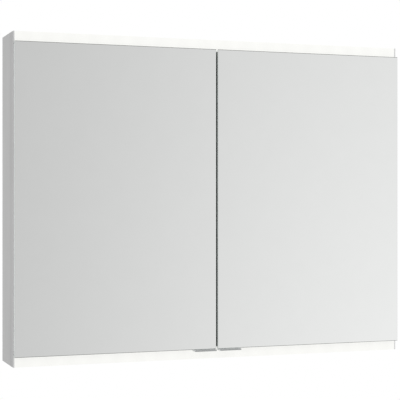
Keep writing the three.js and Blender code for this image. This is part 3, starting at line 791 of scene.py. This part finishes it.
# ---------------- electrical pieces
def driver():
    """LED driver: a ribbed case carried along X, with a screwed terminal cover at each end."""
    low, high = box("led_driver")
    y0, y1, z0, z1 = low[1], high[1], low[2], high[2]
    ribs = np.linspace(y0 + 4, y1 - 4, 9)
    top = []
    for start, end in zip(ribs[:-1], ribs[1:]):
        top += [(start, z1), (start + 1.4, z1), (start + 1.6, z1 - 1.0), (end - 0.2, z1 - 1.0)]
    outline = rounded([(y0, z1), (y0, z0), (y1, z0), (y1, z1)] + top[::-1], 0.25, 2)
    shape = carried(outline, "x", low[0] + 24, high[0] - 24, 0.15)
    make("driver_case", shape, "white", stands_for=["led_driver"])
    covers, heads = [], []
    for s in (-1, 1):
        x0, x1 = sorted((s * (high[0] - 23.7), s * high[0]))
        covers.append(sheet_between((x0, y0, z0), (x1, y1, z1 - 1.0), "z", 2.5, 0.8))
        heads.append(screw_head((s * (high[0] - 12), (y0 + y1) / 2, z1 - 1.0), "+z", 2.4, 0.9))
    make("driver_end_covers", together(covers), "black")
    make("driver_screws", together(heads), "zinc", smooth=50)


def leads():
    """Two-core leads from the driver to the bands, along the routes that the cabinet holds them in."""
    d_low, d_high = box("led_driver")
    end_x = d_high[0] + FIT
    driver_y = (d_low[1] + d_high[1]) / 2
    p_low, p_high = box("top_light_profile")
    ceiling, top = p_low[2] - MIDDLE_Z, p_high[2] - MIDDLE_Z
    duct = (ceiling + 2 + top - 3) / 2
    strip = (ceiling + top) / 2
    profile_back = p_high[1]
    exit_y = profile_back - 1.5
    back_front = box("back_panel")[0][1]
    inner = SHEET_HIGH[0]
    side_x = inner + 22
    bottom_x = inner + 57
    top_x = 130
    run_y = back_front / 2 + 1
    level = duct - 2
    upper = [
        (end_x, driver_y, duct), (end_x + 12, driver_y, duct), (top_x - 14, driver_y - 8, duct),
        (top_x - 2, driver_y - 22, strip), (top_x, profile_back + 8, strip), (top_x, exit_y, strip),
    ]
    lower = [
        (-end_x, driver_y, duct), (-end_x - 12, driver_y, duct), (-end_x - 60, driver_y + 3, duct),
        (side_x + 80, driver_y + 8, duct), (side_x + 12, driver_y + 14, duct),
        (side_x, back_front - 12, duct), (side_x, back_front - 3, duct - 1),
        (side_x, run_y - 4, level - 4), (side_x, run_y, level - 14), (side_x, run_y, level - 40),
        (side_x, run_y, 40 - level), (side_x, run_y, 14 - level), (side_x, run_y - 4, 4 - level),
        (side_x, back_front - 3, 1 - duct), (side_x, back_front - 12, -duct),
        (side_x + 6, driver_y + 4, -duct), (bottom_x - 12, profile_back + 24, -strip),
        (bottom_x, profile_back + 10, -strip), (bottom_x, exit_y, -strip),
    ]
    for name, node, route in (("upper", "top_led_lead", upper), ("lower", "bottom_led_lead", lower)):
        route = np.array(route, float) + [0, 0, MIDDLE_Z]
        make(f"{name}_lead", tube(route, 2.0), "sheath", stands_for=[node])
    # Soft grommets where the leads pass a sheet edge.
    rings = []
    section = [(2.4, -1.6), (6.2, -1.6), (6.2, -0.3), (4.7, 0.0)]
    section += [(4.7, 2.0), (6.2, 2.3), (6.2, 3.4), (2.4, 3.4)]
    for z in (level, -level):
        rings.append(turned(section, "y", (side_x, back_front, z + MIDDLE_Z), 28))
    make("lead_grommets", together(rings), "sheath")
    clips = []
    arch = [(4.0, 0.0), (3.9, 1.5), (2.9, 3.0), (0.0, 3.7), (-2.9, 3.0), (-3.9, 1.5), (-4.0, 0.0)]
    bow = [(side_x + u, run_y - 1.6 + v + 1.5) for u, v in arch]
    bow += [(side_x + 0.62 * u, run_y - 1.6 + 0.62 * v + 1.5) for u, v in arch[::-1]]
    outline = rounded(bow, 0.15, 2)
    for z in np.linspace(-240, 240, 5):
        low = (side_x - 7, back_front + 2.0, z + MIDDLE_Z - 4)
        high = (side_x + 7, back_front + 3.2, z + MIDDLE_Z + 4)
        clips.append(sheet_between(low, high, "y", 1.5, 0.4))
        clips.append(carried(outline, "z", z + MIDDLE_Z - 3, z + MIDDLE_Z + 3, 0.1))
    make("lead_clips", together(clips), "white")


def hexagon(angle):
    """Distance factor of a hexagon whose corners are on the unit circle."""
    sector = (angle + np.pi / 6) % (np.pi / 3) - np.pi / 6
    return np.cos(np.pi / 6) / np.cos(sector)


def gland():
    """Mains gland: a hexagonal flange in the duct, a neck through the back and a hexagonal nut behind it."""
    low, high = box("cable_gland")
    x, z = (low[0] + high[0]) / 2, (low[2] + high[2]) / 2
    y0, y1 = low[1], high[1]
    flange = [(3.5, y0), (7.6, y0), (8.5, y0 + 0.8), (8.5, y0 + 3.0), (3.5, y0 + 3.0)]
    neck = [(3.5, y0 + 3.0), (5.6, y0 + 3.0), (5.6, y0 + 5.7), (3.5, y0 + 5.7)]
    nut = [(3.5, y0 + 5.6), (8.0, y0 + 5.6), (8.0, y1 - 1.2), (7.2, y1 - 0.4), (5.0, y1), (3.5, y1)]
    shapes = [turned(flange, "y", (x, 0, z), 48, hexagon), turned(nut, "y", (x, 0, z), 48, hexagon)]
    shapes.append(turned(neck, "y", (x, 0, z), 48))
    make("mains_gland", together(shapes), "black", stands_for=["cable_gland"])


def socket_unit():
    """Socket: a moulded box, a soft-edged face plate, and a plug recess with its sleeves and earth strips."""
    low, high = box("socket_housing")
    outline = rounded(rectangle(low[1:], high[1:]), 4.0, 6)
    x0, x1 = high[0], low[0]
    levels = [(0.8, x0), (0.25, x0 - 0.25), (0.0, x0 - 0.8), (0.0, x1 + 0.3), (0.3, x1)]
    levels += [(1.8, x1), (2.0, x1 + 0.3), (2.0, x0 - 2.4), (2.5, x0 - 2.0)]
    make("switch_box", stacked(outline, levels, "x"), "white", stands_for=["socket_housing"])
    softened("socket_face_plate", "white", 0.5, segments=3)

    low, high = box("socket_insert")
    y, z = (low[1] + high[1]) / 2, (low[2] + high[2]) / 2
    foot, mouth = high[0], low[0]
    seat = foot - 3.0
    profile = [(0.0, foot), (19.6, foot), (20.2, foot - 0.6), (20.2, mouth + 1.3), (22.0, mouth + 1.3)]
    profile += [(22.5, mouth + 0.9), (22.3, mouth + 0.3), (21.6, mouth), (19.3, mouth), (18.8, mouth + 0.2)]
    profile += [(18.5, mouth + 0.7), (18.4, foot - 4.2), (17.9, foot - 3.2), (17.0, seat), (0.0, seat)]
    shape = turned(profile, "x", (0, y, z), 64)
    make("plug_recess", shape, "white", stands_for=["socket_insert"])
    # Pin sleeves: a rim round each contact hole and the dark hole in it, and two sprung earth strips.
    rims, holes, strips = [], [], []
    collar = [(2.5, seat + 0.3), (3.6, seat + 0.3), (3.4, seat - 0.7), (2.7, seat - 0.8), (2.5, seat - 0.6)]
    hole = [(0.0, seat + 0.2), (2.5, seat + 0.2), (2.5, seat - 0.25), (0.0, seat - 0.25)]
    for k in (-1, 1):
        centre = (0, y + k * 9.5, z)
        rims.append(turned(collar, "x", centre, 24))
        holes.append(turned(hole, "x", centre, 20))
        pz = z + k * 17.9
        strip_low = (mouth + 3.0, y - 2.6, min(pz, pz - k * 1.4))
        strip_high = (foot - 2.6, y + 2.6, max(pz, pz - k * 1.4))
        strips.append(sheet_between(strip_low, strip_high, "z", 0.8, 0.3))
    make("pin_rims", together(rims), "white")
    make("pin_holes", together(holes), "black")
    make("earth_strips", together(strips), "steel")


def rocker():
    """Rocker: a plate whose face dips along a shallow V, with soft edges and a stub at each end."""
    node = frame["nodes"]["rocker_switch"]
    co = np.array([v.co for v in node.data.vertices]) * 1000
    low, high = co.min(0), co.max(0)
    joint = next(j for j in frame["record"]["behaviour"]["joints"] if j["name"] == "rocker_tilt")
    axle = np.array(joint["pos_m"]) * 1000
    tilt = math.radians(-4)
    half_z, face = 9.0, -6.7
    lift = [(face, half_z), (face + 0.35, half_z * 0.5), (face + 0.7, 0), (face + 0.35, -half_z * 0.5)]
    outline = rounded(
        lift + [(face, -half_z), (-1.5, -half_z), (2.0, -4.0), (2.0, 4.0), (-1.5, half_z)],
        [0.9, 3, 6, 3, 0.9, 0.4, 0.5, 0.5, 0.4],
        4,
    )
    cos, sin = math.cos(tilt), math.sin(tilt)
    tilted = np.column_stack(
        [outline[:, 0] * cos + outline[:, 1] * sin, -outline[:, 0] * sin + outline[:, 1] * cos]
    )
    points, faces = stacked(tilted, round_levels(-15.5, 15.5, 0.35), "y")
    shape = points + [axle[0], (low[1] + high[1]) / 2, axle[2]], faces
    stub = [(0.0, low[1]), (1.0, low[1]), (1.2, low[1] + 0.2)]
    stub += [(1.2, high[1] - 0.2), (1.0, high[1]), (0.0, high[1])]
    stub = turned(stub, "y", (axle[0], 0, axle[2]), 20)
    body = next(b for b, nodes in frame["record"]["behaviour"]["bodies"].items() if "rocker_switch" in nodes)
    make("rocker_plate", together([shape, stub]), "rocker", body, ["rocker_switch"])


# ---------------- wall side
def wall_side():
    """Wall rail, and the hanging brackets with two adjusting screws each."""
    softened("wall_rail", "zinc", 0.35)
    heads = []
    for side in SIDES:
        softened(f"hanging_bracket_{side}", "zinc", 0.35)
        low, high = box(f"hanging_bracket_{side}")
        x = (low[0] + high[0]) / 2
        for dx in (-20, 20):
            heads.append(screw_head((x + dx, low[1] + 2.0, low[2] + 7), "+y", 3.0, 1.0))
    make("hanger_screws", together(heads), "steel", smooth=50)


# ---------------- hinges and doors
def hinges():
    """Pivot brackets with two screws each, and their pins with chamfered ends."""
    for side in SIDES:
        heads = []
        for end, t in ENDS.items():
            node = f"hinge_bracket_{side}_{end}"
            softened(node, "zinc", 0.25)
            low, high = box(node)
            x = (low[0] + high[0]) / 2
            face = low[2] if t > 0 else high[2]
            for y in (high[1] - 10, high[1] - 28):
                heads.append(screw_head((x, y, face), "-z" if t > 0 else "+z", 2.6, 0.9))
            p_low, p_high = box(f"hinge_pin_{side}_{end}")
            centre = (p_low + p_high) / 2
            a, b = (p_low[2], p_high[2]) if t > 0 else (p_high[2], p_low[2])
            profile = [(0.0, a), (1.1, a), (1.5, a + t * 0.5), (1.5, b - t * 0.25), (1.3, b), (0.0, b)]
            shape = turned(profile, "z", (centre[0], centre[1], 0), 24)
            stand = [f"hinge_pin_{side}_{end}"]
            make(f"pivot_pin_{side}_{end}", shape, "steel", stands_for=stand)
        make(f"hinge_screws_{side}", together(heads), "steel", smooth=50)


def door(side, s):
    """One door: bevelled front mirror, four frame bars, rear mirror, grip, buffers and frame screws."""
    body = f"door_{side}"
    low, high = box(f"front_mirror_{side}")
    front = pane(low, high, 0.9)
    make(f"door_mirror_{side}", front, "mirror", body, [f"front_mirror_{side}"], edge="edge")
    softened(f"hinge_stile_{side}", "frame_upright_painted_lit", 0.3, body)
    c_low, c_high = box(f"closing_stile_{side}")
    shape = carried(rounded(rectangle(c_low[:2], c_high[:2]), 0.5), "z", c_low[2], c_high[2], 0.3)
    make(f"closing_bar_{side}", shape, "closing", body, [f"closing_stile_{side}"])
    screws = []
    for end in ENDS:
        node = f"door_rail_{end}_{side}"
        r_low, r_high = box(node)
        outline = rounded(rectangle(r_low[1:], r_high[1:]), 0.5)
        shape = carried(outline, "x", r_low[0], r_high[0], 0.3)
        make(f"{end}_bar_{side}", shape, "frame_level_painted_shade", body, [node])
        for x in (r_low[0] - 12, r_high[0] + 12):
            screws.append(screw_head((x, r_high[1], (r_low[2] + r_high[2]) / 2), "+y", 2.4, 0.5, 0.1))
    make(f"frame_screws_{side}", together(screws), "zinc", body, smooth=50)
    shape = pane(*box(f"inner_mirror_{side}"), 0.8, seen_from=1)
    stand = [f"inner_mirror_{side}"]
    make(f"door_rear_mirror_{side}", shape, "mirror", body, stand, edge="edge")
    buffers = []
    inner_x = c_low[0] + 4.2 if s > 0 else c_high[0] - 4.2
    rear = c_high[1]
    dome = [(0.0, rear + 0.9), (1.6, rear + 0.8), (3.0, rear + 0.4), (3.4, rear), (0.0, rear)]
    for z in (low[2] + 14, low[2] + 190, high[2] - 190):
        buffers.append(turned(dome, "y", (inner_x, 0, z), 24))
    make(f"door_buffers_{side}", together(buffers), "buffer", body)
    finger_grip(side, body)


GROOVE_HALF, GROOVE_DEPTH = 3.2, 1.4  # finger groove under a grip, mm


def finger_grip(side, body):
    """Grip: a flat tab in front of and under the mirror's edge, with a finger groove underneath and a foot
    behind the mirror. The groove is half an ellipse, GROOVE_HALF each way and GROOVE_DEPTH deep."""
    low, high = box(f"finger_grip_{side}")
    pane_low, pane_high = box(f"front_mirror_{side}")
    front, back, floor, top = low[1], high[1], low[2], high[2]
    tab, foot = pane_low[2] - FIT, pane_high[1] + FIT
    angle = np.linspace(0, np.pi, 7)
    across, up = GROOVE_HALF * np.cos(angle), GROOVE_DEPTH * np.sin(angle)
    groove = np.column_stack([pane_low[1] + across, floor + up])
    corners = [(front, tab), (foot, tab), (foot, top), (back, top), (back, floor)]
    radii = [0.6, 0.15, 0.6, 0.6, 0.7] + [0.55] + [2.0] * (len(groove) - 2) + [0.55] + [0.7]
    outline = rounded(corners + groove.tolist() + [(front, floor)], radii, 4)
    shape = carried(outline, "x", low[0], high[0], 0.4, 4)
    made = make(f"grip_bar_{side}", shape, "grip", body, [f"finger_grip_{side}"])
    # Painted shade: faces that look forward take the darker copy of the grip colour.
    second_look(made, "grip_front_painted_shade", lambda n: n[:, 1] < -0.6)


side_panels()
light_bands()
panels()
back_screws()
shelves()
catch()
driver()
leads()
gland()
socket_unit()
rocker()
wall_side()
hinges()
for side, s in SIDES.items():
    door(side, s)


# ---------------- studio
FLOOR_DROP = 0.9  # cabinet's lower edge to the floor, m
FLOOR_RADIUS = 3.6
FLOOR_SIDES = 96
FLOOR_FADE = (FLOOR_RADIUS * 0.35, FLOOR_RADIUS * 0.95)  # from solid to clear, m from the middle
# Brightness of the room by its place from left (0) to right (1), as glossy surfaces see it.
ROOM_STOPS = [(0.0, 0.70), (0.25, 0.62), (0.5, 0.54), (0.6, 0.60), (0.75, 0.97), (0.88, 0.92), (1.0, 0.74)]
ROOM_HEIGHTS = (0.7, 0.88)  # share of straight up or down over which the room dims
ROOM_HEIGHT_DIM = 0.12
ROOM_LEAN = (0.19, 0.45, (0.19, 0.52))  # share lost with height, least and most, and where across it changes
ROOM_REAR = 0.78
ROOM_MATT = 0.85


def studio_floor():
    """A pale matt floor, as a disc of rings that fades out towards its rim."""
    low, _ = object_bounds()
    cos, sin = circle(FLOOR_SIDES)
    unit = np.column_stack([cos, sin, np.zeros(FLOOR_SIDES)])
    rings = [radius * unit for radius in (FLOOR_RADIUS, 3.2, 2.8, 2.0, 1.2, 0.5)]
    points, faces = joined(rings + [np.zeros((1, 3))])
    mesh = bpy.data.meshes.new("floor")
    mesh.from_pydata((points + [0, 0, low[2] - FLOOR_DROP]).tolist(), [], faces)
    material, tree, shader, place = finish("pale studio floor", Roughness=0.85)
    colour = shade(tree, noise(tree, place, per(6), detail=3), "F4F4F3", "F7F7F6")
    distance = add(tree, "ShaderNodeVectorMath", {0: stretched(tree, place, (1, 1, 0))}, operation="LENGTH")
    fade = between(tree, distance.outputs["Value"], 1, 0, FLOOR_FADE)
    fade.node.interpolation_type = "SMOOTHERSTEP"
    feed(tree, shader, Base_Color=colour, Alpha=fade)
    mesh.materials.append(material)
    made = in_scene("floor", mesh)
    made.visible_glossy = False


def studio_world():
    """Soft surroundings: white where the camera looks past the object, an even glow for matt surfaces, and a
    room for glossy ones. It brightens from the middle towards the right, and dims overhead and underfoot."""
    world = bpy.data.worlds.new("studio")
    bpy.context.scene.world = world
    world.use_nodes = True
    tree = world.node_tree
    tree.nodes.clear()
    way = add(tree, "ShaderNodeTexCoord").outputs["Generated"]
    x, y, z = add(tree, "ShaderNodeSeparateXYZ", {"Vector": way}).outputs
    ramp = add(tree, "ShaderNodeValToRGB", {"Fac": between(tree, x, 0, 1, (-1, 1))})
    ramp.color_ramp.interpolation = "B_SPLINE"
    elements = ramp.color_ramp.elements
    elements[0].position, elements[1].position = ROOM_STOPS[0][0], ROOM_STOPS[-1][0]
    for place, _ in ROOM_STOPS[1:-1]:
        elements.new(place)
    for element, (_, value) in zip(elements, ROOM_STOPS):
        element.color = (value, value, value, 1)
    dim = between(tree, calculate(tree, "ABSOLUTE", z), 1.0, ROOM_HEIGHT_DIM, ROOM_HEIGHTS)
    lean = between(tree, x, *ROOM_LEAN)
    drift = calculate(tree, "SUBTRACT", 1.0, calculate(tree, "MULTIPLY", z, lean))
    front = calculate(tree, "MULTIPLY", ramp.outputs["Color"], drift)
    around = mixed(tree, between(tree, y, 0, 1, (0.0, 0.5)), front, ROOM_REAR)
    glossy = calculate(tree, "MULTIPLY", around, dim)
    ray = add(tree, "ShaderNodeLightPath")
    matt = mixed(tree, ray.outputs["Is Diffuse Ray"], glossy, ROOM_MATT)
    seen = mixed(tree, ray.outputs["Is Camera Ray"], matt, 1.0)
    background = add(tree, "ShaderNodeBackground", {"Color": (1, 1, 1, 1), "Strength": seen})
    add(tree, "ShaderNodeOutputWorld", {"Surface": background.outputs[0]})


def soft_light(name, place, aim, size, power):
    """A large soft lamp that glossy surfaces don't show."""
    lamp = bpy.data.lights.new(name, "AREA")
    lamp.shape = "RECTANGLE"
    lamp.size, lamp.size_y = size
    lamp.energy = power
    made = in_scene(name, lamp)
    made.location = place
    made.rotation_euler = (Vector(aim) - Vector(place)).to_track_quat("-Z", "Y").to_euler()
    made.visible_glossy = False


studio_floor()
studio_world()
soft_light("key", (1.2, -2.2, 1.4), (0, -0.1, -0.4), (1.6, 1.2), 26)
